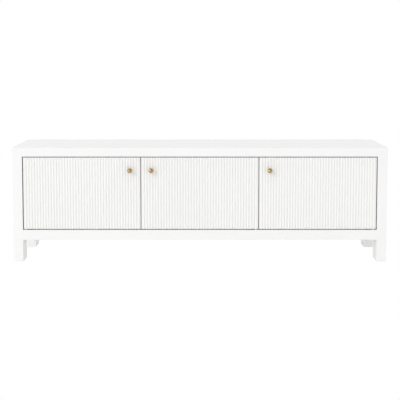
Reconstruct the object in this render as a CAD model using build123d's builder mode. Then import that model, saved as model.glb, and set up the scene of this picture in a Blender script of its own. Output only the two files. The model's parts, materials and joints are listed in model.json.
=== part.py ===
from build123d import *
import os

# Low media cabinet: block legs, a face frame, and three reeded doors hung on concealed pivot hinges.
# X runs along the front, +Y towards the wall and +Z up. The origin is on the floor, in the middle
# of the overall length and of the overall depth from the knobs to the back.

os.makedirs("parts", exist_ok=True)

# Overall sizes
top_width = 1800.0
top_depth = 408.0
cabinet_height = 556.0
top_thickness = 22.0
top_end_overhang = 2.5  # past the legs at both ends
top_front_overhang = 0.5
top_edge_radius = 1.5
top_under_radius = 0.4

# Legs and rails
leg_width = 46.0
leg_depth = 88.0
leg_edge_radius = 2.0
foot_chamfer = 1.5
floor_clearance = 110.0  # floor to the underside of the rails
bottom_rail_height = 48.0
front_top_rail_height = 22.0
rear_top_rail_height = 46.0
rear_rail_thickness = 22.0
rail_edge_radius = 1.0

# Doors
door_gap = 4.0
door_setback = 1.0  # crest of the reeds behind the front of the legs
slab_thickness = 18.0
slab_edge_radius = 1.0
reed_height = 4.0
reed_pitch = 13.2
reed_groove = 1.2  # flat left between two reeds
least_door_margin = 3.0  # flat beside the first and the last reed
reed_end_bevel = 1.5

# Panels
side_thickness = 18.0
side_recess = 6.0  # side panel behind the outer face of the legs
side_groove_depth = 8.0
bottom_thickness = 18.0
divider_thickness = 18.0
divider_clearance = 2.0  # between a divider and a door edge that swings past it
back_thickness = 6.0
back_joint = 1.0  # between two back panels
cable_hole_radius = 30.0
cable_hole_height = 80.0  # above the cabinet floor
bearer_thickness = 22.0
panel_fit = 0.2

# Shelves and their pins
shelf_thickness = 18.0
shelf_height = 165.0  # cabinet floor to the underside of a shelf
shelf_front_setback = 60.0
shelf_rear_gap = 20.0  # room for cables behind the shelf
pin_peg_radius = 2.5
pin_peg_length = 8.0
pin_collar_radius = 4.5
pin_collar_thickness = 1.5
pin_edge_distance = 40.0  # pin to the front or rear edge of the shelf
pin_row_pitch = 32.0
shelf_end_play = 0.5
hole_fit = 0.1

# Pivot hinges
pivot_inset = 13.0  # pin to the hinged edge of the door
pivot_depth = 10.5  # pin behind the crest of the reeds
hinge_pin_radius = 2.5
hinge_pin_reach = 3.0  # past the leaf that it turns in
hinge_running_clearance = 0.05
leaf_length = 45.0
leaf_width = 10.0
leaf_thickness = 2.5
leaf_screw_distances = (18.0, 32.0)
washer_radius = 4.8
washer_play = 0.1
pocket_clearance = 0.5

# Knobs
knob_ball_radius = 13.0
knob_projection = 32.0
knob_neck_radius = 4.5
knob_base_radius = 8.0
knob_base_thickness = 2.0
knob_edge_distance = 49.0  # knob to the free edge of the door
knob_top_distance = 61.0  # knob to the top of the door
knob_thread_radius = 2.0
knob_thread_depth = 10.0
knob_screw_reach = 8.0
knob_screw_head_radius = 4.0
knob_screw_head_height = 2.4
knob_hole_clearance = 0.4

# Magnetic catches and strike plates
catch_width = 46.0
catch_depth = 14.0
catch_height = 40.0
catch_edge_distance = 62.0  # catch to the free edge of the door
catch_top_gap = 2.0
catch_gap = 0.4  # between a catch and the strike plate of a closed door
magnet_width = 30.0
magnet_height = 12.0
magnet_depth = 8.0
magnet_foot = 2.5  # housing left below the magnet
strike_width = 34.0
strike_height = 13.0
strike_thickness = 1.6

# Fasteners
screw_radius = 1.5
screw_head_radius = 3.0
hinge_screw_length = 12.0
strike_screw_length = 12.0
catch_screw_length = 26.0
catch_screw_spacing = 30.0
catch_screw_drop = 8.0  # below the top of the catch
back_screw_length = 18.0
back_screw_edge = 40.0
top_screw_radius = 2.2
top_screw_head_radius = 4.4
top_screw_bite = 14.0  # into the top
top_screw_offset = 130.0  # either side of each door's middle
seat_clearance = 0.1
screw_head_angle = 90.0
screw_slot_width = 0.8
screw_slot_depth = 0.8
rail_dowel_radius = 4.0
rail_dowel_length = 40.0
rail_dowel_spread = 6.5  # from the middle of the rail
divider_dowel_length = 24.0
divider_dowel_edge = 50.0

# Glides under the legs
glide_radius = 14.0
glide_height = 3.0
glide_chamfer = 0.8

# Places that follow from the sizes above
cabinet_width = top_width - 2 * top_end_overhang
cabinet_depth = top_depth - top_front_overhang
door_thickness = slab_thickness + reed_height
front_rail_thickness = door_setback + door_thickness + strike_thickness + catch_gap
front_y = (knob_projection - door_setback - cabinet_depth) / 2
back_y = front_y + cabinet_depth
leg_top = cabinet_height - top_thickness
outer_x = cabinet_width / 2
inner_x = outer_x - leg_width
opening_bottom = floor_clearance + bottom_rail_height
opening_top = leg_top - front_top_rail_height
door_width = (2 * inner_x - 4 * door_gap) / 3
door_pitch = door_width + door_gap
door_bottom = opening_bottom + door_gap
door_top = opening_top - door_gap
crest_y = front_y + door_setback
slab_front_y = crest_y + reed_height
door_back_y = crest_y + door_thickness
pivot_y = crest_y + pivot_depth
rail_back_y = front_y + front_rail_thickness
rear_face_y = back_y - back_thickness
rear_rail_y = rear_face_y - rear_rail_thickness
divider_x = door_pitch / 2
swing_radius = (pivot_inset**2 + (door_thickness - pivot_depth) ** 2) ** 0.5
divider_front_y = max(pivot_y + swing_radius + divider_clearance, rail_back_y)
side_inner_x = outer_x - side_recess - side_thickness
catch_top = leg_top - catch_top_gap
magnet_z = catch_top - catch_height + magnet_foot + magnet_height / 2
knob_z = door_top - knob_top_distance
shelf_z = opening_bottom + shelf_height
pin_z = shelf_z - pin_peg_radius
shelf_front_y = front_y + shelf_front_setback
shelf_rear_y = rear_face_y - shelf_rear_gap
top_screw_z = leg_top - front_top_rail_height
top_screw_length = front_top_rail_height + top_screw_bite
cable_hole_z = opening_bottom + cable_hole_height

# Each door's middle in X, and the side of its hinges: -1 left, +1 right.
doors = {"left": (-door_pitch, -1), "middle": (0.0, 1), "right": (door_pitch, 1)}

# Rotations that point a screw's head up, down or to the back; its shank goes the other way.
head_up = (0, 0, 0)
head_down = (180, 0, 0)
head_back = (-90, 0, 0)
along_x = (0, 90, 0)

# Where a round part sits against its place: with its base there, or with its top there.
base_at_place = (Align.CENTER, Align.CENTER, Align.MIN)
top_at_place = (Align.CENTER, Align.CENTER, Align.MAX)


def pivot_x(middle, side):
    return middle + side * (door_width / 2 - pivot_inset)


def leaf_x(middle, side):
    return pivot_x(middle, side) - side * (leaf_length - leaf_width) / 2


def from_free_edge(middle, side, distance):
    return middle - side * (door_width / 2 - distance)


def leaf_screw_places(middle, side, face_z, facing):
    # Heads of the screws in a hinge leaf whose outer face is at face_z
    xs = [pivot_x(middle, side) - side * distance for distance in leaf_screw_distances]
    return [Location((x, pivot_y, face_z), facing) for x in xs]


def rail_dowel_places(rail_y, rail_z, spread):
    # Two dowels at each end of a rail, spread apart from the middle of its end
    ends = [(x, way) for x in (-inner_x, inner_x) for way in (-1, 1)]
    return [
        Location((x, rail_y + way * spread[0], rail_z + way * spread[1]), along_x)
        for x, way in ends
    ]


def countersunk_screws(places, radius, head_radius, length):
    # Adds screws with a cross slot to the part being built, their heads' faces at the places
    with Locations(*places):
        Cylinder(radius, length, align=top_at_place)
        Cone(radius, head_radius, head_radius - radius, align=top_at_place)
    slot = (head_radius, screw_slot_width, 2 * screw_slot_depth)
    with Locations(*places):
        Box(*slot, mode=Mode.SUBTRACT)
        Box(slot[1], slot[0], slot[2], mode=Mode.SUBTRACT)


def screw_seats(places, radius, head_radius, depth):
    # Cuts countersunk holes for the same screws out of the part being built
    with Locations(*places):
        CounterSinkHole(
            radius + seat_clearance, head_radius + seat_clearance, depth, screw_head_angle
        )


def blind_holes(places, radius, depth):
    with Locations(*places):
        Cylinder(radius, 2 * depth, mode=Mode.SUBTRACT)


rail_dowels_at = [
    *rail_dowel_places(front_y + front_rail_thickness / 2, leg_top - front_top_rail_height / 2,
                       (rail_dowel_spread, 0)),
    *rail_dowel_places(front_y + front_rail_thickness / 2, floor_clearance + bottom_rail_height / 2,
                       (0, rail_dowel_spread)),
    *rail_dowel_places(rear_rail_y + rear_rail_thickness / 2, leg_top - rear_top_rail_height / 2,
                       (0, rail_dowel_spread)),
    *rail_dowel_places(rear_rail_y + rear_rail_thickness / 2, floor_clearance + bottom_rail_height / 2,
                       (0, rail_dowel_spread)),
]
rail_dowel_hole = rail_dowel_radius + hole_fit
half_dowel = rail_dowel_length / 2 + hole_fit

divider_dowel_ys = (divider_front_y + divider_dowel_edge, rear_rail_y - divider_dowel_edge)
divider_dowels_at = [
    Location((x, y, z))
    for x in (-divider_x, divider_x)
    for y in divider_dowel_ys
    for z in (opening_bottom, leg_top)
]
half_divider_dowel = divider_dowel_length / 2 + hole_fit

top_screw_xs = [
    middle + way * top_screw_offset for middle, side in doors.values() for way in (-1, 1)
]
front_top_screws_at = [
    Location((x, front_y + front_rail_thickness / 2, top_screw_z), head_down) for x in top_screw_xs
]
rear_top_screws_at = [
    Location((x, rear_rail_y + rear_rail_thickness / 2, top_screw_z), head_down) for x in top_screw_xs
]
top_screws_at = front_top_screws_at + rear_top_screws_at

catch_screws_at = [
    Location(
        (
            from_free_edge(middle, side, catch_edge_distance) + way * catch_screw_spacing / 2,
            rail_back_y + catch_depth,
            catch_top - catch_screw_drop,
        ),
        head_back,
    )
    for middle, side in doors.values()
    for way in (-1, 1)
]

# The outer back panels reach to the rear legs, and the middle one to the two dividers.
back_spans = {
    "left": (-inner_x + panel_fit, -divider_x - back_joint / 2),
    "middle": (-divider_x + back_joint / 2, divider_x - back_joint / 2),
    "right": (divider_x + back_joint / 2, inner_x - panel_fit),
}
back_screw_zs = (floor_clearance + bottom_rail_height / 2, leg_top - rear_top_rail_height / 2)


def back_screws_on(span):
    low, high = span
    xs = (low + back_screw_edge, (low + high) / 2, high - back_screw_edge)
    return [Location((x, back_y, z), head_back) for x in xs for z in back_screw_zs]


back_screws_at = [place for span in back_spans.values() for place in back_screws_on(span)]

# Shelf bays: the inner faces that carry the pins of each shelf.
bays = {
    "left": (-inner_x, -divider_x - divider_thickness / 2),
    "middle": (-divider_x + divider_thickness / 2, divider_x - divider_thickness / 2),
    "right": (divider_x + divider_thickness / 2, inner_x),
}
pin_ys = (shelf_front_y + pin_edge_distance, shelf_rear_y - pin_edge_distance)
pin_walls = [(wall_x, way) for low, high in bays.values() for wall_x, way in ((low, 1), (high, -1))]


def pin_row(wall_x, pin_y):
    # The hole in use, with a spare one above and one below
    return [Location((wall_x, pin_y, pin_z + step * pin_row_pitch), along_x) for step in (-1, 0, 1)]


# Top
with BuildPart() as top_panel:
    with BuildSketch(Plane.XY.offset(leg_top)):
        with Locations((0, back_y - top_depth / 2)):
            Rectangle(top_width, top_depth)
    extrude(amount=top_thickness)
    fillet(top_panel.edges().filter_by(Axis.Z), top_edge_radius)
    fillet(top_panel.faces().sort_by(Axis.Z)[-1].edges(), top_edge_radius)
    fillet(top_panel.faces().sort_by(Axis.Z)[0].edges(), top_under_radius)
    screw_bite = [Location((at.position.X, at.position.Y, leg_top)) for at in top_screws_at]
    blind_holes(screw_bite, top_screw_radius + seat_clearance, top_screw_bite + hole_fit)
    dowel_ends = [at for at in divider_dowels_at if at.position.Z == leg_top]
    blind_holes(dowel_ends, rail_dowel_hole, half_divider_dowel)
top_panel.part.label = "top_panel"
export_step(top_panel.part, "parts/top_panel.step")


# Legs, grooved for the side panels and bored for dowels and shelf pins
def make_leg(name, side, is_front):
    y_low = front_y if is_front else back_y - leg_depth
    groove_y = front_y + leg_depth if is_front else back_y - leg_depth
    pin_y = pin_ys[0] if is_front else pin_ys[1]
    with BuildPart() as leg:
        with BuildSketch(Plane.XY.offset(glide_height)):
            with Locations((side * (outer_x - leg_width / 2), y_low + leg_depth / 2)):
                Rectangle(leg_width, leg_depth)
        extrude(amount=leg_top - glide_height)
        outer_edges = leg.edges().filter_by(Axis.Z).group_by(Axis.X)[-1 if side > 0 else 0]
        fillet(outer_edges, leg_edge_radius)
        chamfer(leg.faces().sort_by(Axis.Z)[0].edges(), foot_chamfer)
        with BuildSketch(Plane.XY.offset(floor_clearance)):
            with Locations((side * (side_inner_x + side_thickness / 2), groove_y)):
                Rectangle(side_thickness + 2 * panel_fit, 2 * side_groove_depth)
        extrude(amount=leg_top - floor_clearance, mode=Mode.SUBTRACT)
        blind_holes(rail_dowels_at, rail_dowel_hole, half_dowel)
        blind_holes(pin_row(side * inner_x, pin_y), pin_peg_radius + hole_fit, pin_peg_length + hole_fit)
    leg.part.label = name
    export_step(leg.part, f"parts/{name}.step")


make_leg("leg_front_left", -1, True)
make_leg("leg_front_right", 1, True)
make_leg("leg_rear_left", -1, False)
make_leg("leg_rear_right", 1, False)


def make_glides():
    with BuildPart() as leg_glides:
        with BuildSketch():
            for x in (-1, 1):
                for y in (front_y + leg_depth / 2, back_y - leg_depth / 2):
                    with Locations((x * (outer_x - leg_width / 2), y)):
                        Circle(glide_radius)
        extrude(amount=glide_height)
        chamfer(leg_glides.faces().group_by(Axis.Z)[0].edges(), glide_chamfer)
    leg_glides.part.label = "leg_glides"
    export_step(leg_glides.part, "parts/leg_glides.step")


make_glides()


def rail_block(rail_y, rail_z, thickness, height):
    # A plain rail between the legs, added to the part being built
    with Locations((0, rail_y, rail_z)):
        Box(2 * inner_x, thickness, height, align=(Align.CENTER, Align.MIN, Align.MIN))


def leaf_recesses(face_z, into):
    # Recesses in a rail for the frame leaves of the hinges; into is the way into the wood
    with BuildSketch(Plane.XY.offset(face_z)) as recesses:
        for middle, side in doors.values():
            with Locations((leaf_x(middle, side), pivot_y)):
                SlotOverall(leaf_length + 2 * panel_fit, leaf_width + 2 * panel_fit)
    extrude(recesses.sketch, amount=into * leaf_thickness, mode=Mode.SUBTRACT)
    facing = head_down if into > 0 else head_up
    for middle, side in doors.values():
        places = leaf_screw_places(middle, side, face_z, facing)
        blind_holes(places, screw_radius + seat_clearance, hinge_screw_length + hole_fit)


with BuildPart() as front_top_rail:
    rail_block(front_y, opening_top, front_rail_thickness, front_top_rail_height)
    front_edges = front_top_rail.faces().sort_by(Axis.Y)[0].edges().filter_by(Axis.X)
    fillet(front_edges.sort_by(Axis.Z)[0], rail_edge_radius)
    leaf_recesses(opening_top, 1)
    screw_seats(front_top_screws_at, top_screw_radius, top_screw_head_radius, front_top_rail_height)
    catch_pilots = [
        Location((at.position.X, rail_back_y, at.position.Z), head_back) for at in catch_screws_at
    ]
    blind_holes(catch_pilots, screw_radius + seat_clearance, catch_screw_length - catch_depth + hole_fit)
    blind_holes(rail_dowels_at, rail_dowel_hole, half_dowel)
front_top_rail.part.label = "front_top_rail"
export_step(front_top_rail.part, "parts/front_top_rail.step")

with BuildPart() as front_bottom_rail:
    rail_block(front_y, floor_clearance, front_rail_thickness, bottom_rail_height)
    front_edges = front_bottom_rail.faces().sort_by(Axis.Y)[0].edges().filter_by(Axis.X)
    fillet(front_edges, rail_edge_radius)
    leaf_recesses(opening_bottom, -1)
    blind_holes(rail_dowels_at, rail_dowel_hole, half_dowel)
front_bottom_rail.part.label = "front_bottom_rail"
export_step(front_bottom_rail.part, "parts/front_bottom_rail.step")

back_pilots = [
    Location((at.position.X, rear_face_y, at.position.Z), head_back) for at in back_screws_at
]
back_pilot_depth = back_screw_length - back_thickness + hole_fit

with BuildPart() as rear_top_rail:
    rail_block(rear_rail_y, leg_top - rear_top_rail_height, rear_rail_thickness, rear_top_rail_height)
    blind_holes(back_pilots, screw_radius + seat_clearance, back_pilot_depth)
    blind_holes(rail_dowels_at, rail_dowel_hole, half_dowel)
    screw_seats(rear_top_screws_at, top_screw_radius, top_screw_head_radius, front_top_rail_height)
    wells_at = [
        Location((at.position.X, at.position.Y, leg_top - rear_top_rail_height))
        for at in rear_top_screws_at
    ]
    well_depth = rear_top_rail_height - front_top_rail_height
    blind_holes(wells_at, top_screw_head_radius + seat_clearance, well_depth)
rear_top_rail.part.label = "rear_top_rail"
export_step(rear_top_rail.part, "parts/rear_top_rail.step")

with BuildPart() as rear_bottom_rail:
    rail_block(rear_rail_y, floor_clearance, rear_rail_thickness, bottom_rail_height)
    blind_holes(back_pilots, screw_radius + seat_clearance, back_pilot_depth)
    blind_holes(rail_dowels_at, rail_dowel_hole, half_dowel)
rear_bottom_rail.part.label = "rear_bottom_rail"
export_step(rear_bottom_rail.part, "parts/rear_bottom_rail.step")


# Side panels, held in the grooves of the legs
def make_side_panel(name, side):
    y_low = front_y + leg_depth - side_groove_depth + panel_fit
    y_high = back_y - leg_depth + side_groove_depth - panel_fit
    with BuildPart() as side_panel:
        with BuildSketch(Plane.XY.offset(floor_clearance)):
            with Locations((side * (side_inner_x + side_thickness / 2), (y_low + y_high) / 2)):
                Rectangle(side_thickness, y_high - y_low)
        extrude(amount=leg_top - floor_clearance)
    side_panel.part.label = name
    export_step(side_panel.part, f"parts/{name}.step")


make_side_panel("side_panel_left", -1)
make_side_panel("side_panel_right", 1)

# Cabinet floor, notched round the legs
with BuildPart() as bottom_panel:
    with BuildSketch(Plane.XY.offset(opening_bottom - bottom_thickness)):
        with Locations((0, (rail_back_y + rear_rail_y) / 2)):
            Rectangle(2 * (side_inner_x - panel_fit), rear_rail_y - rail_back_y)
        for side in (-1, 1):
            for y in (front_y, back_y):
                with Locations((side * outer_x, y)):
                    Rectangle(2 * (leg_width + panel_fit), 2 * (leg_depth + panel_fit), mode=Mode.SUBTRACT)
    extrude(amount=bottom_thickness)
    dowel_ends = [at for at in divider_dowels_at if at.position.Z == opening_bottom]
    blind_holes(dowel_ends, rail_dowel_hole, half_divider_dowel)
bottom_panel.part.label = "bottom_panel"
export_step(bottom_panel.part, "parts/bottom_panel.step")


# Bearers under the cabinet floor, one below each divider
def make_bearer(name, side):
    with BuildPart() as bearer:
        with BuildSketch(Plane.XY.offset(floor_clearance)):
            with Locations((side * divider_x, (rail_back_y + rear_rail_y) / 2)):
                Rectangle(bearer_thickness, rear_rail_y - rail_back_y)
        extrude(amount=bottom_rail_height - bottom_thickness)
    bearer.part.label = name
    export_step(bearer.part, f"parts/{name}.step")


make_bearer("bearer_left", -1)
make_bearer("bearer_right", 1)


# Dividers behind the joints between the doors, notched over the rear top rail
def make_divider(name, side):
    with BuildPart() as divider:
        with BuildSketch(Plane.XY.offset(opening_bottom)):
            with Locations((side * divider_x, (divider_front_y + rear_face_y) / 2)):
                Rectangle(divider_thickness, rear_face_y - divider_front_y)
        extrude(amount=leg_top - opening_bottom)
        with BuildSketch(Plane.XY.offset(leg_top)):
            with Locations((side * divider_x, rear_face_y)):
                Rectangle(divider_thickness, 2 * (rear_rail_thickness + panel_fit))
        extrude(amount=-rear_top_rail_height - panel_fit, mode=Mode.SUBTRACT)
        blind_holes(divider_dowels_at, rail_dowel_hole, half_divider_dowel)
        for way in (-1, 1):
            for pin_y in pin_ys:
                face_x = side * divider_x + way * divider_thickness / 2
                blind_holes(pin_row(face_x, pin_y), pin_peg_radius + hole_fit, pin_peg_length + hole_fit)
    divider.part.label = name
    export_step(divider.part, f"parts/{name}.step")


make_divider("divider_left", -1)
make_divider("divider_right", 1)


# Back panels, each with a round cable outlet
def make_back_panel(name, span):
    low, high = span
    with BuildPart() as back_panel:
        with BuildSketch(Plane.XY.offset(floor_clearance)):
            with Locations(((low + high) / 2, back_y - back_thickness / 2)):
                Rectangle(high - low, back_thickness)
        extrude(amount=leg_top - floor_clearance)
        with Locations(Location(((low + high) / 2, back_y, cable_hole_z), head_back)):
            Hole(cable_hole_radius)
        screw_seats(back_screws_on(span), screw_radius, screw_head_radius, back_thickness)
    back_panel.part.label = name
    export_step(back_panel.part, f"parts/{name}.step")


for place_name, span in back_spans.items():
    make_back_panel(f"back_panel_{place_name}", span)


# Shelves
def make_shelf(name, bay):
    low, high = bay
    end_room = pin_collar_thickness + shelf_end_play
    with BuildPart() as shelf:
        with BuildSketch(Plane.XY.offset(shelf_z)):
            with Locations(((low + high) / 2, (shelf_front_y + shelf_rear_y) / 2)):
                Rectangle(high - low - 2 * end_room, shelf_rear_y - shelf_front_y)
        extrude(amount=shelf_thickness)
        front_edges = shelf.edges().filter_by(Axis.X).group_by(Axis.Y)[0]
        fillet(front_edges, slab_edge_radius)
    shelf.part.label = name
    export_step(shelf.part, f"parts/{name}.step")


for place_name, bay in bays.items():
    make_shelf(f"shelf_{place_name}", bay)

with BuildPart() as shelf_pins:
    for wall_x, way in pin_walls:
        for pin_y in pin_ys:
            with Locations(Location((wall_x, pin_y, pin_z), (0, way * 90, 0))):
                Cylinder(pin_peg_radius, 2 * pin_peg_length)
                Cylinder(pin_collar_radius, pin_collar_thickness, align=base_at_place)
shelf_pins.part.label = "shelf_pins"
export_step(shelf_pins.part, "parts/shelf_pins.step")


# Doors: a slab with a row of rounded reeds on its front
def make_door(name, middle, side):
    low_x = middle - door_width / 2
    high_x = middle + door_width / 2
    reed_count = int((door_width - 2 * least_door_margin) // reed_pitch)
    first_x = middle - reed_count * reed_pitch / 2
    with BuildPart() as door:
        with BuildSketch(Plane.XY.offset(door_bottom)):
            with BuildLine():
                reed_start = first_x + reed_groove / 2
                Line((low_x, slab_front_y), (reed_start, slab_front_y))
                for index in range(reed_count):
                    centre = first_x + (index + 0.5) * reed_pitch
                    half_reed = (reed_pitch - reed_groove) / 2
                    reed_end = (centre + half_reed, slab_front_y)
                    ThreePointArc((centre - half_reed, slab_front_y), (centre, crest_y), reed_end)
                    is_last = index == reed_count - 1
                    next_x = high_x if is_last else centre + half_reed + reed_groove
                    Line(reed_end, (next_x, slab_front_y))
                Polyline(
                    (high_x, slab_front_y),
                    (high_x, door_back_y),
                    (low_x, door_back_y),
                    (low_x, slab_front_y),
                )
            make_face()
        extrude(amount=door_top - door_bottom)
        corner_edges = door.edges().filter_by(Axis.Z)
        fillet(corner_edges.group_by(Axis.X)[0] + corner_edges.group_by(Axis.X)[-1], slab_edge_radius)
        with BuildSketch(Plane.YZ.offset(low_x)):
            for end_z, way in ((door_top, -1), (door_bottom, 1)):
                with BuildLine():
                    Polyline(
                        (crest_y, end_z),
                        (crest_y, end_z + way * reed_end_bevel),
                        (crest_y + reed_end_bevel, end_z),
                        close=True,
                    )
                make_face()
        extrude(amount=door_width, mode=Mode.SUBTRACT)
        for end_z, way, facing in ((door_top, -1, head_up), (door_bottom, 1, head_down)):
            with BuildSketch(Plane.XY.offset(end_z)):
                with Locations((leaf_x(middle, side), pivot_y)):
                    SlotOverall(leaf_length + 2 * panel_fit, leaf_width + 2 * panel_fit)
            extrude(amount=way * leaf_thickness, mode=Mode.SUBTRACT)
            with BuildSketch(Plane.XY.offset(end_z)):
                with Locations((pivot_x(middle, side), pivot_y)):
                    Circle(hinge_pin_radius + pocket_clearance)
            extrude(amount=way * (leaf_thickness + hinge_pin_reach + pocket_clearance), mode=Mode.SUBTRACT)
            places = leaf_screw_places(middle, side, end_z, facing)
            blind_holes(places, screw_radius + seat_clearance, hinge_screw_length + hole_fit)
        knob_x = from_free_edge(middle, side, knob_edge_distance)
        knob_at = Location((knob_x, door_back_y, knob_z), head_back)
        blind_holes([knob_at], knob_thread_radius + knob_hole_clearance, 2 * door_thickness)
        strike_x = from_free_edge(middle, side, catch_edge_distance)
        strike_at = Location((strike_x, door_back_y, magnet_z), head_back)
        strike_pilot = strike_screw_length - strike_thickness + hole_fit
        blind_holes([strike_at], screw_radius + seat_clearance, strike_pilot)
    door.part.label = name
    export_step(door.part, f"parts/{name}.step")


# Knob: a ball on a waisted neck and a round base, bored for its screw
def make_knob(name, knob_x):
    ball_y = crest_y - knob_projection + knob_ball_radius
    neck_end = (knob_ball_radius**2 - knob_neck_radius**2) ** 0.5
    base_y = crest_y - knob_base_thickness
    with BuildPart() as knob:
        with BuildSketch(Plane.XY.offset(knob_z)):
            with BuildLine():
                Polyline((knob_x, ball_y - knob_ball_radius), (knob_x, crest_y),
                         (knob_x + knob_base_radius, crest_y), (knob_x + knob_base_radius, base_y))
                SagittaArc((knob_x + knob_base_radius, base_y),
                           (knob_x + knob_neck_radius, ball_y + neck_end), -knob_base_thickness / 2)
                ThreePointArc((knob_x + knob_neck_radius, ball_y + neck_end),
                              (knob_x + knob_ball_radius, ball_y), (knob_x, ball_y - knob_ball_radius))
            make_face()
        revolve(axis=Axis((knob_x, 0, knob_z), (0, 1, 0)))
        blind_holes([Location((knob_x, crest_y, knob_z), head_back)], knob_thread_radius, knob_thread_depth)
    knob.part.label = name
    export_step(knob.part, f"parts/{name}.step")


def make_knob_screw(name, knob_x):
    shank_radius = knob_thread_radius - hinge_running_clearance
    with BuildPart() as knob_screw:
        with Locations(Location((knob_x, door_back_y, knob_z), head_back)):
            Cylinder(shank_radius, door_thickness + knob_screw_reach, align=top_at_place)
            Cylinder(knob_screw_head_radius, knob_screw_head_height, align=base_at_place)
        head_face = knob_screw.faces().sort_by(Axis.Y)[-1]
        fillet(head_face.edges(), knob_screw_head_height / 2)
        with Locations(Location((knob_x, door_back_y + knob_screw_head_height, knob_z), head_back)):
            Box(knob_screw_head_radius, screw_slot_width, 2 * screw_slot_depth, mode=Mode.SUBTRACT)
            Box(screw_slot_width, knob_screw_head_radius, 2 * screw_slot_depth, mode=Mode.SUBTRACT)
    knob_screw.part.label = name
    export_step(knob_screw.part, f"parts/{name}.step")


# Pivot hinges: leaves let into the rails carry the pins, and leaves in the door's ends turn on them
def make_frame_leaves(name, middle, side):
    with BuildPart() as frame_leaves:
        for face_z, into, facing in ((opening_top, 1, head_down), (opening_bottom, -1, head_up)):
            with BuildSketch(Plane.XY.offset(face_z)):
                with Locations((leaf_x(middle, side), pivot_y)):
                    SlotOverall(leaf_length, leaf_width)
            extrude(amount=into * leaf_thickness)
            with BuildSketch(Plane.XY.offset(face_z)):
                with Locations((pivot_x(middle, side), pivot_y)):
                    Circle(hinge_pin_radius)
            extrude(amount=-into * (door_gap + leaf_thickness + hinge_pin_reach))
            places = leaf_screw_places(middle, side, face_z, facing)
            screw_seats(places, screw_radius, screw_head_radius, leaf_thickness)
    frame_leaves.part.label = name
    export_step(frame_leaves.part, f"parts/{name}.step")


def make_door_leaves(name, middle, side):
    with BuildPart() as door_leaves:
        for face_z, into, facing in ((door_top, -1, head_up), (door_bottom, 1, head_down)):
            with BuildSketch(Plane.XY.offset(face_z)):
                with Locations((leaf_x(middle, side), pivot_y)):
                    SlotOverall(leaf_length, leaf_width)
                with Locations((pivot_x(middle, side), pivot_y)):
                    Circle(hinge_pin_radius + hinge_running_clearance, mode=Mode.SUBTRACT)
            extrude(amount=into * leaf_thickness)
            places = leaf_screw_places(middle, side, face_z, facing)
            screw_seats(places, screw_radius, screw_head_radius, leaf_thickness)
    door_leaves.part.label = name
    export_step(door_leaves.part, f"parts/{name}.step")


def make_door_hinge_screws(name, middle, side):
    with BuildPart() as door_hinge_screws:
        for face_z, facing in ((door_top, head_up), (door_bottom, head_down)):
            places = leaf_screw_places(middle, side, face_z, facing)
            countersunk_screws(places, screw_radius, screw_head_radius, hinge_screw_length)
    door_hinge_screws.part.label = name
    export_step(door_hinge_screws.part, f"parts/{name}.step")


def make_strike_plate(name, strike_x):
    with BuildPart() as strike_plate:
        with BuildSketch(Plane.XZ.offset(-door_back_y)):
            with Locations((strike_x, magnet_z)):
                RectangleRounded(strike_width, strike_height, strike_thickness)
        extrude(amount=-strike_thickness)
        seat_at = Location((strike_x, door_back_y + strike_thickness, magnet_z), head_back)
        screw_seats([seat_at], screw_radius, screw_head_radius, strike_thickness)
    strike_plate.part.label = name
    export_step(strike_plate.part, f"parts/{name}.step")


def make_strike_screw(name, strike_x):
    with BuildPart() as strike_screw:
        place = Location((strike_x, door_back_y + strike_thickness, magnet_z), head_back)
        countersunk_screws([place], screw_radius, screw_head_radius, strike_screw_length)
    strike_screw.part.label = name
    export_step(strike_screw.part, f"parts/{name}.step")


for place_name, (middle, side) in doors.items():
    knob_x = from_free_edge(middle, side, knob_edge_distance)
    strike_x = from_free_edge(middle, side, catch_edge_distance)
    make_door(f"door_{place_name}", middle, side)
    make_knob(f"knob_{place_name}", knob_x)
    make_knob_screw(f"knob_screw_{place_name}", knob_x)
    make_frame_leaves(f"hinge_frame_leaves_{place_name}", middle, side)
    make_door_leaves(f"hinge_door_leaves_{place_name}", middle, side)
    make_door_hinge_screws(f"hinge_door_screws_{place_name}", middle, side)
    make_strike_plate(f"strike_plate_{place_name}", strike_x)
    make_strike_screw(f"strike_screw_{place_name}", strike_x)

with BuildPart() as hinge_frame_screws:
    for middle, side in doors.values():
        for face_z, facing in ((opening_top, head_down), (opening_bottom, head_up)):
            places = leaf_screw_places(middle, side, face_z, facing)
            countersunk_screws(places, screw_radius, screw_head_radius, hinge_screw_length)
hinge_frame_screws.part.label = "hinge_frame_screws"
export_step(hinge_frame_screws.part, "parts/hinge_frame_screws.step")

# Washers on the lower pins, which carry the doors
with BuildPart() as hinge_washers:
    with BuildSketch(Plane.XY.offset(opening_bottom)):
        with Locations(*[(pivot_x(middle, side), pivot_y) for middle, side in doors.values()]):
            Circle(washer_radius)
            Circle(hinge_pin_radius + hinge_running_clearance, mode=Mode.SUBTRACT)
    extrude(amount=door_gap - washer_play)
hinge_washers.part.label = "hinge_washers"
export_step(hinge_washers.part, "parts/hinge_washers.step")

# Magnetic catches on the back of the front top rail
catch_xs = [from_free_edge(middle, side, catch_edge_distance) for middle, side in doors.values()]

with BuildPart() as catch_housings:
    with BuildSketch(Plane.XY.offset(catch_top - catch_height)):
        with Locations(*[(x, rail_back_y + catch_depth / 2) for x in catch_xs]):
            Rectangle(catch_width, catch_depth)
    extrude(amount=catch_height)
    fillet(catch_housings.edges().filter_by(Axis.X).group_by(Axis.Y)[-1], slab_edge_radius)
    with Locations(*[(x, rail_back_y, magnet_z) for x in catch_xs]):
        Box(
            magnet_width + 2 * panel_fit,
            2 * (magnet_depth + panel_fit),
            magnet_height + 2 * panel_fit,
            mode=Mode.SUBTRACT,
        )
    screw_seats(catch_screws_at, screw_radius, screw_head_radius, catch_depth)
catch_housings.part.label = "catch_housings"
export_step(catch_housings.part, "parts/catch_housings.step")

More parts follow.
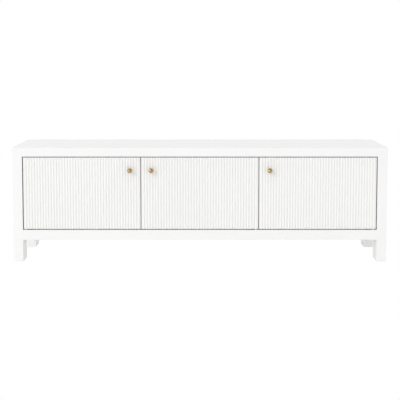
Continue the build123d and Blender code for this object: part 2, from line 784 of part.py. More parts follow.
with BuildPart() as catch_magnets:
    with BuildSketch(Plane.XY.offset(magnet_z - magnet_height / 2)):
        with Locations(*[(x, rail_back_y + magnet_depth / 2) for x in catch_xs]):
            Rectangle(magnet_width, magnet_depth)
    extrude(amount=magnet_height)
catch_magnets.part.label = "catch_magnets"
export_step(catch_magnets.part, "parts/catch_magnets.step")

with BuildPart() as catch_screws:
    countersunk_screws(catch_screws_at, screw_radius, screw_head_radius, catch_screw_length)
catch_screws.part.label = "catch_screws"
export_step(catch_screws.part, "parts/catch_screws.step")

# Screws and dowels of the carcass
with BuildPart() as back_panel_screws:
    countersunk_screws(back_screws_at, screw_radius, screw_head_radius, back_screw_length)
back_panel_screws.part.label = "back_panel_screws"
export_step(back_panel_screws.part, "parts/back_panel_screws.step")

with BuildPart() as top_screws:
    countersunk_screws(top_screws_at, top_screw_radius, top_screw_head_radius, top_screw_length)
top_screws.part.label = "top_screws"
export_step(top_screws.part, "parts/top_screws.step")

with BuildPart() as rail_dowels:
    with Locations(*rail_dowels_at):
        Cylinder(rail_dowel_radius, rail_dowel_length)
rail_dowels.part.label = "rail_dowels"
export_step(rail_dowels.part, "parts/rail_dowels.step")

with BuildPart() as divider_dowels:
    with Locations(*divider_dowels_at):
        Cylinder(rail_dowel_radius, divider_dowel_length)
divider_dowels.part.label = "divider_dowels"
export_step(divider_dowels.part, "parts/divider_dowels.step")
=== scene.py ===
import json
import math

import bpy
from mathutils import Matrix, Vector

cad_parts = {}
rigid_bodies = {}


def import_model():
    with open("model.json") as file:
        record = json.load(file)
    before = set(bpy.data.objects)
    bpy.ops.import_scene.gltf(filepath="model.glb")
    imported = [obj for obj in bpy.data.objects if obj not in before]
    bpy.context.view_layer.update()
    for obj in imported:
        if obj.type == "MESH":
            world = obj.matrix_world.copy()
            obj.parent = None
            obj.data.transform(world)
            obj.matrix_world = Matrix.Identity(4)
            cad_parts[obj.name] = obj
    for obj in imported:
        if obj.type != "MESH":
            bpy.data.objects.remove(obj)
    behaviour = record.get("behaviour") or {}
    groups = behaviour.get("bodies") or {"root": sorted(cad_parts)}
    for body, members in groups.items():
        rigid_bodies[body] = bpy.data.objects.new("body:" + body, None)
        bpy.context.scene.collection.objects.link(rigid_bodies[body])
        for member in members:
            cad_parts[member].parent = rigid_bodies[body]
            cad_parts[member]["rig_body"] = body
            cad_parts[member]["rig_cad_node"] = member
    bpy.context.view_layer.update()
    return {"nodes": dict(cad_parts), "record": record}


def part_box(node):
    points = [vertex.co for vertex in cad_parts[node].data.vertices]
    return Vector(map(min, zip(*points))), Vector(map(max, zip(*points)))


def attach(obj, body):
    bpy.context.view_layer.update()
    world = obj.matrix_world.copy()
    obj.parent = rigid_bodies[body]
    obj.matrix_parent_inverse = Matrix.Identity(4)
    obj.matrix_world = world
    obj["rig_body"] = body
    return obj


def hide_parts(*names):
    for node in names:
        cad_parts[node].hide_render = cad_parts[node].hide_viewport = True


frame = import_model()
nodes = frame["nodes"]
slotOf = {part["node"]: part["material_slot"] for part in frame["record"]["subparts"]}
print("frame loaded:", len(nodes), "CAD nodes")

mm = 0.001
doorPlaces = ("left", "middle", "right")


def deselectAll():
    if bpy.context.mode != "OBJECT":
        bpy.ops.object.mode_set(mode="OBJECT")
    bpy.ops.object.select_all(action="DESELECT")


def makeActive(piece):
    deselectAll()
    piece.select_set(True)
    bpy.context.view_layer.objects.active = piece


def settle(piece, name):
    # put the piece's place into its mesh, so that its object sits at the origin like a CAD node
    makeActive(piece)
    bpy.ops.object.transform_apply(location=True, rotation=True, scale=True)
    piece.name = name
    piece.data.name = name


def applyAll(piece):
    makeActive(piece)
    for modifier in list(piece.modifiers):
        bpy.ops.object.modifier_apply(modifier=modifier.name)


def addNode(tree, kind, place, **settings):
    node = tree.nodes.new(kind)
    node.location = place
    for key, value in settings.items():
        setattr(node, key, value)
    return node


def setInputs(node, **values):
    for key, value in values.items():
        node.inputs[key.replace("_", " ")].default_value = value
    return node


def mixValue(tree, operation, place, first, second):
    # a Math node; first and second are sockets or numbers
    node = addNode(tree, "ShaderNodeMath", place, operation=operation)
    for socket, value in zip(node.inputs, (first, second)):
        if isinstance(value, (int, float)):
            socket.default_value = value
        else:
            tree.links.new(value, socket)
    return node.outputs[0]


def mapRange(tree, place, value, low, high, newLow, newHigh):
    node = addNode(tree, "ShaderNodeMapRange", place, clamp=True)
    tree.links.new(value, node.inputs["Value"])
    for name, number in (("From Min", low), ("From Max", high), ("To Min", newLow), ("To Max", newHigh)):
        if isinstance(number, (int, float)):
            node.inputs[name].default_value = number
        else:
            tree.links.new(number, node.inputs[name])
    return node.outputs["Result"]


def mixColour(tree, place, factor, first, second):
    node = addNode(tree, "ShaderNodeMix", place, data_type="RGBA")
    for socket, value in ((node.inputs[0], factor), (node.inputs[6], first), (node.inputs[7], second)):
        if isinstance(value, (int, float, tuple)):
            socket.default_value = value
        else:
            tree.links.new(value, socket)
    return node.outputs[2]


def noise(tree, place, vector, scale, detail=2.0, roughness=0.5):
    node = addNode(tree, "ShaderNodeTexNoise", place)
    node.inputs["Detail"].default_value = detail
    node.inputs["Roughness"].default_value = roughness
    if isinstance(scale, (int, float)):
        node.inputs["Scale"].default_value = scale
    else:
        tree.links.new(scale, node.inputs["Scale"])
    tree.links.new(vector, node.inputs["Vector"])
    return node.outputs["Fac"]


def startGroup(name, colours, values, outputs):
    # a node group with a Vector input, colour inputs and number inputs, and its named outputs
    tree = bpy.data.node_groups.new(name, "ShaderNodeTree")
    face = tree.interface
    face.new_socket("Vector", in_out="INPUT", socket_type="NodeSocketVector")
    for kind, starts in (("NodeSocketColor", colours), ("NodeSocketFloat", values)):
        for label, start in starts.items():
            face.new_socket(label, in_out="INPUT", socket_type=kind).default_value = start
    for label in outputs:
        kind = "NodeSocketColor" if label == "Colour" else "NodeSocketFloat"
        face.new_socket(label, in_out="OUTPUT", socket_type=kind)
    given = addNode(tree, "NodeGroupInput", (-1000, 0)).outputs
    result = addNode(tree, "NodeGroupOutput", (800, 0)).inputs
    return tree, given, result


def makeLacquerFilm():
    # sprayed and brushed lacquer: faint cloudiness, long brush strokes and a fine orange peel
    tree, given, result = startGroup(
        "lacquerFilm",
        {"Light tone": (0.9, 0.9, 0.9, 1), "Shade tone": (0.86, 0.86, 0.86, 1)},
        {"Cloud scale": 2.5, "Stroke scale": 1.0, "Peel scale": 420.0, "Gloss low": 0.3, "Gloss high": 0.4},
        ("Colour", "Roughness", "Height"),
    )
    cloud = noise(tree, (-700, 300), given["Vector"], given["Cloud scale"], 3.0, 0.6)
    cloudMask = mapRange(tree, (-500, 300), cloud, 0.35, 0.65, 0.0, 1.0)
    stretched = addNode(tree, "ShaderNodeMapping", (-800, 0))
    setInputs(stretched, Scale=(2.0, 160.0, 160.0))  # strokes run along the mapped X
    tree.links.new(given["Vector"], stretched.inputs["Vector"])
    strokes = noise(tree, (-600, 0), stretched.outputs[0], given["Stroke scale"], 4.0, 0.65)
    peel = noise(tree, (-600, -250), given["Vector"], given["Peel scale"], 1.5, 0.5)
    toned = mixColour(tree, (-200, 300), cloudMask, given["Light tone"], given["Shade tone"])
    strokeMask = mapRange(tree, (-400, 100), strokes, 0.3, 0.7, 0.0, 0.25)
    tree.links.new(mixColour(tree, (200, 300), strokeMask, toned, given["Shade tone"]), result["Colour"])
    gloss = mapRange(tree, (200, 0), strokes, 0.3, 0.7, given["Gloss low"], given["Gloss high"])
    tree.links.new(gloss, result["Roughness"])
    raised = mixValue(tree, "MULTIPLY", (-200, -100), strokes, 0.55)
    pitted = mixValue(tree, "MULTIPLY", (-200, -250), peel, 0.45)
    tree.links.new(mixValue(tree, "ADD", (200, -200), raised, pitted), result["Height"])
    return tree


def makeEdgeMask():
    # 1 along sharp edges and 0 on flats: where a rounded normal leaves the true one
    tree, given, result = startGroup("edgeMask", {}, {"Strength": 6.0}, ("Mask",))
    tree.interface.remove(tree.interface.items_tree["Vector"])
    rounded = addNode(tree, "ShaderNodeBevel", (-700, 100), samples=4)
    rounded.inputs["Radius"].default_value = 0.0012
    geometry = addNode(tree, "ShaderNodeNewGeometry", (-700, -100))
    dot = addNode(tree, "ShaderNodeVectorMath", (-400, 0), operation="DOT_PRODUCT")
    tree.links.new(rounded.outputs["Normal"], dot.inputs[0])
    tree.links.new(geometry.outputs["Normal"], dot.inputs[1])
    away = mixValue(tree, "SUBTRACT", (-200, 0), 1.0, dot.outputs["Value"])
    spread = mixValue(tree, "MULTIPLY", (0, 0), away, given["Strength"])
    tree.links.new(mapRange(tree, (300, 0), spread, 0.0, 1.0, 0.0, 1.0), result["Mask"])
    return tree


def makeMetalGrain():
    # fine brushed scratches along the mapped X, with slow tarnish over them
    tree, given, result = startGroup(
        "metalGrain",
        {"Bright tone": (0.7, 0.7, 0.7, 1), "Dull tone": (0.5, 0.5, 0.5, 1)},
        {"Grain scale": 1.0, "Tarnish scale": 60.0, "Tarnish": 0.5, "Gloss low": 0.2, "Gloss high": 0.4},
        ("Colour", "Roughness", "Height"),
    )
    stretched = addNode(tree, "ShaderNodeMapping", (-800, 0))
    setInputs(stretched, Scale=(60.0, 2600.0, 2600.0))
    tree.links.new(given["Vector"], stretched.inputs["Vector"])
    grain = noise(tree, (-600, 0), stretched.outputs[0], given["Grain scale"], 3.0, 0.7)
    tarnish = noise(tree, (-600, 300), given["Vector"], given["Tarnish scale"], 4.0, 0.65)
    dull = mapRange(tree, (-300, 300), tarnish, 0.35, 0.7, 0.0, given["Tarnish"])
    toned = mixColour(tree, (200, 300), dull, given["Bright tone"], given["Dull tone"])
    tree.links.new(toned, result["Colour"])
    worn = mapRange(tree, (-100, 50), grain, 0.3, 0.7, given["Gloss low"], given["Gloss high"])
    matter = mixValue(tree, "MULTIPLY", (100, 150), dull, 0.12)  # tarnish takes the shine off
    tree.links.new(mixValue(tree, "ADD", (300, 50), worn, matter), result["Roughness"])
    tree.links.new(grain, result["Height"])
    return tree


def makeBoardGrain():
    # growth rings seen along a planed board, with fine pores
    tree, given, result = startGroup(
        "boardGrain",
        {"Early wood": (0.7, 0.52, 0.33, 1), "Late wood": (0.5, 0.33, 0.18, 1)},
        {"Ring scale": 26.0, "Pore scale": 1.0},
        ("Colour", "Roughness", "Height"),
    )
    rings = addNode(tree, "ShaderNodeTexWave", (-600, 200), wave_type="BANDS", bands_direction="Y")
    setInputs(rings, Distortion=6.0, Detail=3.0, Detail_Scale=1.2)
    tree.links.new(given["Ring scale"], rings.inputs["Scale"])
    long = addNode(tree, "ShaderNodeMapping", (-850, 200))
    setInputs(long, Scale=(0.12, 1.0, 1.0))
    tree.links.new(given["Vector"], long.inputs["Vector"])
    tree.links.new(long.outputs[0], rings.inputs["Vector"])
    fine = addNode(tree, "ShaderNodeMapping", (-850, -150))
    setInputs(fine, Scale=(40.0, 1500.0, 1500.0))
    tree.links.new(given["Vector"], fine.inputs["Vector"])
    pores = noise(tree, (-600, -150), fine.outputs[0], given["Pore scale"], 3.0, 0.6)
    toned = mixColour(tree, (200, 200), rings.outputs["Fac"], given["Early wood"], given["Late wood"])
    tree.links.new(toned, result["Colour"])
    tree.links.new(mapRange(tree, (200, 0), pores, 0.3, 0.7, 0.5, 0.68), result["Roughness"])
    tree.links.new(pores, result["Height"])
    return tree


def makeMouldedSkin():
    # eroded mould finish of small plastic pieces
    tree, given, result = startGroup(
        "mouldedSkin",
        {"Body tone": (0.8, 0.8, 0.8, 1), "Flow tone": (0.74, 0.74, 0.74, 1)},
        {"Flow scale": 40.0, "Texture scale": 2400.0, "Gloss low": 0.4, "Gloss high": 0.55},
        ("Colour", "Roughness", "Height"),
    )
    flow = noise(tree, (-600, 200), given["Vector"], given["Flow scale"], 3.0, 0.6)
    texture = noise(tree, (-600, -100), given["Vector"], given["Texture scale"], 2.0, 0.5)
    flowMask = mapRange(tree, (-300, 200), flow, 0.35, 0.65, 0.0, 1.0)
    toned = mixColour(tree, (200, 200), flowMask, given["Body tone"], given["Flow tone"])
    tree.links.new(toned, result["Colour"])
    gloss = mapRange(tree, (200, 0), texture, 0.3, 0.7, given["Gloss low"], given["Gloss high"])
    tree.links.new(gloss, result["Roughness"])
    tree.links.new(texture, result["Height"])
    return tree


effectGroups = {
    "lacquerFilm": makeLacquerFilm(),
    "edgeMask": makeEdgeMask(),
    "metalGrain": makeMetalGrain(),
    "boardGrain": makeBoardGrain(),
    "mouldedSkin": makeMouldedSkin(),
}
print("effect groups made:", ", ".join(effectGroups))


# turns of the shader's space that lay its X along the grain
grainTurns = {"x": (0, 0, 0), "y": (0, 0, math.pi / 2), "z": (0, math.pi / 2, 0)}


def grouped(tree, name, place, vector, values):
    node = addNode(tree, "ShaderNodeGroup", place)
    node.node_tree = effectGroups[name]
    for label, value in values.items():
        node.inputs[label].default_value = value
    if vector is not None:
        tree.links.new(vector, node.inputs["Vector"])
    return node


def startMaterial(name, grain, groupName, groupValues, bumpDistance, bumpStrength, shaderValues):
    # a Principled material fed by one effect group that runs along the grain axis
    material = bpy.data.materials.new(name)
    material.use_nodes = True
    tree = material.node_tree
    shader = tree.nodes["Principled BSDF"]
    for label, value in shaderValues.items():
        shader.inputs[label].default_value = value
    coordinates = addNode(tree, "ShaderNodeTexCoord", (-1200, 0))
    turned = addNode(tree, "ShaderNodeMapping", (-1000, 0))
    turned.inputs["Rotation"].default_value = grainTurns[grain]
    tree.links.new(coordinates.outputs["Object"], turned.inputs["Vector"])
    effect = grouped(tree, groupName, (-700, 0), turned.outputs[0], groupValues)
    bump = addNode(tree, "ShaderNodeBump", (-300, -300))
    setInputs(bump, Distance=bumpDistance, Strength=bumpStrength)
    tree.links.new(effect.outputs["Height"], bump.inputs["Height"])
    tree.links.new(effect.outputs["Colour"], shader.inputs["Base Color"])
    tree.links.new(effect.outputs["Roughness"], shader.inputs["Roughness"])
    tree.links.new(bump.outputs["Normal"], shader.inputs["Normal"])
    return material, tree, shader, effect


lacquer = {
    "frameLight": (0.781, 0.781, 0.778, 1),
    "frameShade": (0.769, 0.769, 0.765, 1),
    "doorLight": (0.79, 0.79, 0.778, 1),
    "doorShade": (0.778, 0.778, 0.765, 1),
    "insideLight": (0.75, 0.75, 0.742, 1),
    "insideShade": (0.73, 0.73, 0.72, 1),
    "edgeHighlightTone": (0.82, 0.82, 0.81, 1),  # painted highlight: a paler tone along edges, standing in for their sheen
    "satin": (0.34, 0.44),  # roughness from, to
    "matt": (0.48, 0.6),
    "strokeDepth": 0.06 * mm,
    "refraction": 1.48,
    "edgeReach": 5.0,  # how quickly the mask fills at an edge
    "edgeHighlightShare": 0.6,  # how much of the painted edge highlight shows there
}


def makeLacquer(name, grain, place, gloss, bumpStrength):
    values = {
        "Light tone": lacquer[place + "Light"],
        "Shade tone": lacquer[place + "Shade"],
        "Gloss low": lacquer[gloss][0],
        "Gloss high": lacquer[gloss][1],
    }
    shaderValues = {"IOR": lacquer["refraction"]}
    material, tree, shader, effect = startMaterial(
        name, grain, "lacquerFilm", values, lacquer["strokeDepth"], bumpStrength, shaderValues)
    # painted highlight: the base colour is lightened toward a paler tone where the edge mask is high
    edge = grouped(tree, "edgeMask", (-700, 300), None, {"Strength": lacquer["edgeReach"]})
    paintedEdgeHighlight = mapRange(tree, (-450, 300), edge.outputs["Mask"], 0.0, 1.0, 0.0, lacquer["edgeHighlightShare"])
    colour = mixColour(tree, (-250, 200), paintedEdgeHighlight, effect.outputs["Colour"], lacquer["edgeHighlightTone"])
    tree.links.new(colour, shader.inputs["Base Color"])
    return material


reliefs = {
    "scratchDepth": 0.02 * mm,
    "poreDepth": 0.08 * mm,
    "skinDepth": 0.03 * mm,
    "woodStrength": 0.5,
    "skinStrength": 0.5,
}
plasticRefraction = 1.46


def makeMetal(name, grain, values, bumpStrength):
    depth = reliefs["scratchDepth"]
    return startMaterial(name, grain, "metalGrain", values, depth, bumpStrength, {"Metallic": 1.0})[0]


def makeWood(name, grain, values):
    depth = reliefs["poreDepth"]
    return startMaterial(name, grain, "boardGrain", values, depth, reliefs["woodStrength"], {})[0]


agedBrass = {
    "Bright tone": (0.74, 0.56, 0.34, 1),
    "Dull tone": (0.4, 0.27, 0.14, 1),
    "Grain scale": 1.0,
    "Tarnish scale": 95.0,
    "Tarnish": 0.7,
    "Gloss low": 0.16,
    "Gloss high": 0.28,
}
nickelPlate = {
    "Bright tone": (0.68, 0.66, 0.62, 1),
    "Dull tone": (0.5, 0.49, 0.46, 1),
    "Tarnish scale": 45.0,
    "Tarnish": 0.5,
    "Gloss low": 0.22,
    "Gloss high": 0.36,
}
zincPlate = {
    "Bright tone": (0.62, 0.63, 0.64, 1),
    "Dull tone": (0.44, 0.44, 0.43, 1),
    "Tarnish scale": 300.0,
    "Tarnish": 0.7,
    "Gloss low": 0.32,
    "Gloss high": 0.48,
}
magnetSkin = {
    "Bright tone": (0.1, 0.1, 0.105, 1),
    "Dull tone": (0.06, 0.06, 0.06, 1),
    "Tarnish scale": 160.0,
    "Tarnish": 0.8,
    "Gloss low": 0.45,
    "Gloss high": 0.6,
}
plainBeech = {"Early wood": (0.68, 0.5, 0.32, 1), "Late wood": (0.55, 0.37, 0.21, 1), "Ring scale": 34.0}
nylonSkin = {"Body tone": (0.78, 0.77, 0.71, 1), "Flow tone": (0.72, 0.7, 0.63, 1)}
catchSkin = {"Body tone": (0.82, 0.82, 0.81, 1), "Flow tone": (0.78, 0.78, 0.765, 1)}
glideSkin = {"Body tone": (0.76, 0.76, 0.74, 1), "Flow tone": (0.68, 0.68, 0.65, 1), "Texture scale": 1500.0}


def makePlastic(name, values):
    depth, strength = reliefs["skinDepth"], reliefs["skinStrength"]
    return startMaterial(name, "x", "mouldedSkin", values, depth, strength, {"IOR": plasticRefraction})[0]


def lacquerSet(name, place, gloss, bumpStrength):
    # the same lacquer with its strokes along each axis
    return {grain: makeLacquer(f"{name}_{grain}", grain, place, gloss, bumpStrength) for grain in grainTurns}


# one finish, or one for each grain direction, by material slot; the last number is the strength of its relief
finishes = {
    "white_lacquer": lacquerSet("frameLacquer", "frame", "satin", 0.55),
    "door_lacquer": lacquerSet("doorLacquer", "door", "satin", 0.5),
    "interior_lacquer": lacquerSet("insideLacquer", "inside", "matt", 0.4),
    "back_board": lacquerSet("backBoard", "inside", "matt", 0.8),
    "bare_wood": makeWood("bareBeech", "y", plainBeech),
    "aged_brass": makeMetal("agedBrass", "z", agedBrass, 0.35),
    "plated_steel": makeMetal("nickelPlate", "x", nickelPlate, 0.3),
    "zinc_screws": makeMetal("zincPlate", "x", zincPlate, 0.2),
    "magnet": makeMetal("magnetSkin", "x", magnetSkin, 0.4),
    "nylon": makePlastic("nylonSkin", nylonSkin),
    "white_plastic": makePlastic("catchSkin", catchSkin),
    "glide_plastic": makePlastic("glideSkin", glideSkin),
}
uprightNodes = ("leg_", "side_panel", "divider_", "door_")


def grainOf(name):
    return "z" if name.startswith(uprightNodes) else "x"


def finishFor(name):
    finish = finishes[slotOf[name]]
    return finish[grainOf(name)] if isinstance(finish, dict) else finish


def dress(piece, material):
    piece.data.materials.clear()
    piece.data.materials.append(material)


for nodeName, node in nodes.items():
    dress(node, finishFor(nodeName))
print("materials made:", len(bpy.data.materials))


# woodwork whose outline edges are eased
softening = {
    "mergeDistance": 0.002 * mm,
    "flatAngle": 0.3,  # degrees: faces this near to one plane become one face
    "sharpAngle": 28.0,  # degrees
    "segments": 2,
}
softWidths = {
    "top_panel": 0.5 * mm,
    "leg_front_left": 0.5 * mm,
    "leg_front_right": 0.5 * mm,
    "leg_rear_left": 0.5 * mm,
    "leg_rear_right": 0.5 * mm,
    "side_panel_left": 0.6 * mm,
    "side_panel_right": 0.6 * mm,
    "divider_left": 0.8 * mm,
    "divider_right": 0.8 * mm,
    "shelf_left": 0.5 * mm,
    "shelf_middle": 0.5 * mm,
    "shelf_right": 0.5 * mm,
}


def copyNode(nodeName):
    # a merged copy of a CAD node, with its coplanar triangles joined into whole faces
    makeActive(nodes[nodeName])
    bpy.ops.object.duplicate()
    piece = bpy.context.view_layer.objects.active
    bpy.ops.object.parent_clear(type="CLEAR_KEEP_TRANSFORM")
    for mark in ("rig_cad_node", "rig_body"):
        del piece[mark]
    if piece.data.has_custom_normals:
        bpy.ops.mesh.customdata_custom_splitnormals_clear()
    bpy.ops.object.mode_set(mode="EDIT")
    bpy.ops.mesh.select_all(action="SELECT")
    bpy.ops.mesh.remove_doubles(threshold=softening["mergeDistance"])
    bpy.ops.mesh.dissolve_limited(angle_limit=math.radians(softening["flatAngle"]))
    bpy.ops.object.mode_set(mode="OBJECT")
    return piece


def isOnOutline(point, low, high):
    # whether the point lies on two sides of the box at once
    sides = 0
    for axis in range(3):
        gap = min(point[axis] - low[axis], high[axis] - point[axis])
        if abs(gap) < softening["mergeDistance"]:
            sides += 1
    return sides > 1


def markOutline(piece, low, high):
    # only the sharp edges of the outline take the bevel, not those of holes, grooves and notches
    bpy.ops.object.mode_set(mode="EDIT")
    bpy.ops.mesh.select_all(action="DESELECT")
    bpy.ops.mesh.edges_select_sharp(sharpness=math.radians(softening["sharpAngle"]))
    bpy.ops.object.mode_set(mode="OBJECT")
    weights = piece.data.attributes.new("bevel_weight_edge", "FLOAT", "EDGE")
    points = piece.data.vertices
    for edge in piece.data.edges:
        start, end = (points[index].co for index in edge.vertices)
        isOuter = isOnOutline((start + end) / 2, low, high)
        weights.data[edge.index].value = 1.0 if edge.select and isOuter else 0.0


def softenNode(nodeName, width):
    piece = copyNode(nodeName)
    bpy.ops.object.shade_smooth_by_angle(angle=math.radians(softening["sharpAngle"]))
    low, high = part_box(nodeName)
    markOutline(piece, low, high)
    bevel = piece.modifiers.new("softEdges", "BEVEL")
    bevel.limit_method = "WEIGHT"
    bevel.width = width
    bevel.segments = softening["segments"]
    bevel.use_clamp_overlap = False
    bevel.harden_normals = True  # the flats stay flat in their shading
    applyAll(piece)
    settle(piece, nodeName + "_softened")
    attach(piece, nodes[nodeName]["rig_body"])
    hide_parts(nodeName)
    return piece


for nodeName, width in softWidths.items():
    piece = softenNode(nodeName, width)
    print("softened", nodeName, len(piece.data.polygons), "faces")


# knobs turned from the base to the crown of the ball
knob = {
    "baseRadius": 8.0 * mm,
    "baseThickness": 1.6 * mm,
    "baseRound": 0.5 * mm,
    "neckRadius": 4.6 * mm,
    "beadRadius": 5.8 * mm,
    "beadHalf": 0.9 * mm,
    "around": 56,
    "sharpAngle": 40.0,  # degrees
    "ballRings": 18,
    "beadRings": 6,
    "coveRings": 5,
}


def knobProfile(length, ballRadius):
    # (distance from the door, radius) of each ring, from the door outwards
    rounded = knob["baseThickness"] - knob["baseRound"]
    rimRadius = knob["baseRadius"] - knob["baseRound"]
    rings = [(0.0, knob["baseRadius"]), (rounded, knob["baseRadius"]), (knob["baseThickness"], rimRadius)]
    ballCentre = length - ballRadius
    seat = ballCentre - math.sqrt(ballRadius**2 - knob["neckRadius"] ** 2)
    beadCentre = seat - knob["beadHalf"]
    coveEnd = beadCentre - knob["beadHalf"]
    for step in range(1, knob["coveRings"] + 1):  # hollow sweep from the base up to the bead
        share = step / knob["coveRings"]
        drop = (rimRadius - knob["neckRadius"]) * math.sin(share * math.pi / 2)
        distance = knob["baseThickness"] + (coveEnd - knob["baseThickness"]) * share
        rings.append((distance, rimRadius - drop))
    for step in range(1, knob["beadRings"]):
        turn = math.pi * step / knob["beadRings"]
        swell = (knob["beadRadius"] - knob["neckRadius"]) * math.sin(turn)
        rings.append((beadCentre - knob["beadHalf"] * math.cos(turn), knob["neckRadius"] + swell))
    rings.append((seat, knob["neckRadius"]))
    start = math.asin(knob["neckRadius"] / ballRadius)
    for step in range(1, knob["ballRings"] + 1):
        turn = start + (math.pi - start) * step / (knob["ballRings"] + 1)
        rings.append((ballCentre - ballRadius * math.cos(turn), ballRadius * math.sin(turn)))
    return rings


def makeKnob(place):
    nodeName = "knob_" + place
    low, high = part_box(nodeName)
    centre = (low + high) / 2
    ballRadius = (high.x - low.x) / 2
    rings = knobProfile(high.y - low.y, ballRadius)
    deselectAll()
    bpy.ops.mesh.primitive_circle_add(
        vertices=knob["around"], radius=rings[0][1], fill_type="NGON",
        location=(centre.x, high.y, centre.z), rotation=(math.pi / 2, 0, 0))
    piece = bpy.context.active_object
    bpy.ops.object.mode_set(mode="EDIT")
    bpy.ops.mesh.select_all(action="SELECT")
    at, radius = rings[0]
    for distance, nextRadius in rings[1:]:
        bpy.ops.mesh.extrude_region_move(TRANSFORM_OT_translate={"value": (0, at - distance, 0)})
        ratio = nextRadius / radius
        middle = (centre.x, high.y - distance, centre.z)
        bpy.ops.transform.resize(value=(ratio, 1, ratio), center_override=middle)
        at, radius = distance, nextRadius
    bpy.ops.mesh.extrude_region_move(TRANSFORM_OT_translate={"value": (0, low.y - (high.y - at), 0)})
    bpy.ops.mesh.merge(type="CENTER")
    bpy.ops.mesh.select_all(action="SELECT")
    bpy.ops.mesh.normals_make_consistent(inside=False)
    bpy.ops.object.mode_set(mode="OBJECT")
    settle(piece, "turned_knob_" + place)
    bpy.ops.object.shade_smooth_by_angle(angle=math.radians(knob["sharpAngle"]))
    dress(piece, finishes["aged_brass"])
    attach(piece, place + "_door")
    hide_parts(nodeName)
    print("turned knob", place, len(piece.data.polygons), "faces")


for place in doorPlaces:
    makeKnob(place)


stageSet = {
    "floorHalf": 30.0,
    "floorDrop": 0.2 * mm,  # keeps the floor off the undersides of the glides
    "floorTone": (0.6, 0.6, 0.6, 1),
    "floorRoughness": 0.9,
    "floorShine": 0.1,
    "floorGlow": 0.58,
    "paperTone": (1.0, 1.0, 1.0, 1),  # what the camera sees of the floor and the backdrop
    "worldTone": (1.0, 1.0, 1.0, 1),
    "worldStrength": 0.938,
    "mirroredRoom": 0.34,  # how bright reflections find the studio behind the camera
    "mirroredFloor": 0.7,
    "mirroredBackdrop": 1.15,
    "roomEnds": -0.15,  # the direction's Y where the backdrop starts, and where it is whole
    "backdropWhole": 0.2,
}
keyLight = {"place": (-10.42, -12.87, 9.2), "aim": (0.0, 0.0, 0.3), "size": 3.75, "watts": 783.0}
# a soft window that only reflections show, as the highlight on the knobs
windowLight = {"place": (-4.6, -3.6, 1.5), "aim": (0.0, -0.2, 0.45), "size": 2.6, "watts": 62.0}


def seenByCamera(tree, place, lit, mirrored, paper):
    # what the camera sees is plain paper, mirrors see the darker room, and the rest is lit as usual
    path = addNode(tree, "ShaderNodeLightPath", place)
    inMirror = addNode(tree, "ShaderNodeMixShader", (place[0] + 200, place[1] - 200))
    tree.links.new(path.outputs["Is Glossy Ray"], inMirror.inputs["Fac"])
    tree.links.new(lit, inMirror.inputs[1])
    tree.links.new(mirrored, inMirror.inputs[2])
    mix = addNode(tree, "ShaderNodeMixShader", (place[0] + 400, place[1] - 200))
    tree.links.new(path.outputs["Is Camera Ray"], mix.inputs["Fac"])
    tree.links.new(inMirror.outputs["Shader"], mix.inputs[1])
    tree.links.new(paper, mix.inputs[2])
    return mix.outputs["Shader"]


def addGlow(tree, kind, place, tone, strength):
    node = addNode(tree, kind, place)
    node.inputs["Color"].default_value = tone
    node.inputs["Strength"].default_value = strength
    return node


def makeFloor():
    deselectAll()
    bpy.ops.mesh.primitive_plane_add(size=2 * stageSet["floorHalf"], location=(0, 0, -stageSet["floorDrop"]))
    floor = bpy.context.active_object
    floor.name = "studio_floor"
    material = bpy.data.materials.new("studioFloor")
    material.use_nodes = True
    tree = material.node_tree
    shader = tree.nodes["Principled BSDF"]
    setInputs(
        shader, Base_Color=stageSet["floorTone"], Roughness=stageSet["floorRoughness"],
        Specular_IOR_Level=stageSet["floorShine"], Emission_Color=stageSet["paperTone"],
        Emission_Strength=stageSet["floorGlow"])
    dim = addGlow(tree, "ShaderNodeEmission", (0, -200), stageSet["paperTone"], stageSet["mirroredFloor"])
    paper = addGlow(tree, "ShaderNodeEmission", (0, -400), stageSet["paperTone"], 1.0)
    seen = seenByCamera(tree, (0, 400), shader.outputs[0], dim.outputs[0], paper.outputs[0])
    # from below the floor is clear, so that the underside can be looked at
    side = addNode(tree, "ShaderNodeNewGeometry", (600, 500))
    clear = addNode(tree, "ShaderNodeBsdfTransparent", (600, -300))
    either = addNode(tree, "ShaderNodeMixShader", (800, 200))
    tree.links.new(side.outputs["Backfacing"], either.inputs["Fac"])
    tree.links.new(seen, either.inputs[1])
    tree.links.new(clear.outputs[0], either.inputs[2])
    tree.links.new(either.outputs[0], tree.nodes["Material Output"].inputs["Surface"])
    dress(floor, material)


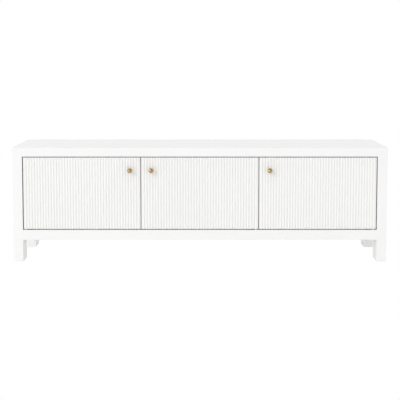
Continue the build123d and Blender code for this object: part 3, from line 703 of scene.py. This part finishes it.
def makeWorld():
    scene = bpy.context.scene
    world = bpy.data.worlds.new("studioWorld")
    world.use_nodes = True
    tree = world.node_tree
    background = tree.nodes["Background"]
    background.inputs["Color"].default_value = stageSet["worldTone"]
    background.inputs["Strength"].default_value = stageSet["worldStrength"]
    direction = addNode(tree, "ShaderNodeTexCoord", (-600, -200))
    parts = addNode(tree, "ShaderNodeSeparateXYZ", (-400, -200))
    tree.links.new(direction.outputs["Generated"], parts.inputs[0])
    backdrop = mapRange(
        tree, (-200, -200), parts.outputs["Y"], stageSet["roomEnds"], stageSet["backdropWhole"],
        stageSet["mirroredRoom"], stageSet["mirroredBackdrop"])
    dim = addGlow(tree, "ShaderNodeBackground", (0, -200), stageSet["worldTone"], 1.0)
    tree.links.new(backdrop, dim.inputs["Strength"])
    paper = addGlow(tree, "ShaderNodeBackground", (0, -400), stageSet["paperTone"], 1.0)
    seen = seenByCamera(tree, (0, 400), background.outputs[0], dim.outputs[0], paper.outputs[0])
    tree.links.new(seen, tree.nodes["World Output"].inputs["Surface"])
    scene.world = world
    scene.view_settings.view_transform = "Standard"
    scene.view_settings.look = "None"


def makeLight(name, values):
    data = bpy.data.lights.new(name, "AREA")
    data.shape = "DISK"
    data.size = values["size"]
    data.energy = values["watts"]
    light = bpy.data.objects.new(name, data)
    light.location = values["place"]
    light.rotation_mode = "QUATERNION"
    light.rotation_quaternion = (Vector(values["aim"]) - Vector(values["place"])).to_track_quat("-Z", "Y")
    light.visible_camera = False
    bpy.context.scene.collection.objects.link(light)
    return light


makeFloor()
makeWorld()
makeLight("key_light", keyLight)
makeLight("window_light", windowLight).visible_diffuse = False
print("stage and lights ready")


cameraSet = {
    "lens": 78.05,  # mm, on a 36 mm sensor
    "distance": 4.12,  # in front of the legs
    "sideways": 0.0007,
    "height": 0.988,
    "tilt": 4.46,  # degrees below level
    "shiftY": -0.1888,
}


def makeCamera():
    data = bpy.data.cameras.new("studio_camera")
    data.sensor_width = 36.0
    data.lens = cameraSet["lens"]
    data.shift_y = cameraSet["shiftY"]
    camera = bpy.data.objects.new("studio_camera", data)
    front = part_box("leg_front_left")[0].y
    camera.location = (cameraSet["sideways"], front - cameraSet["distance"], cameraSet["height"])
    camera.rotation_euler = (math.radians(90 - cameraSet["tilt"]), 0, 0)
    bpy.context.scene.collection.objects.link(camera)
    bpy.context.scene.camera = camera


makeCamera()
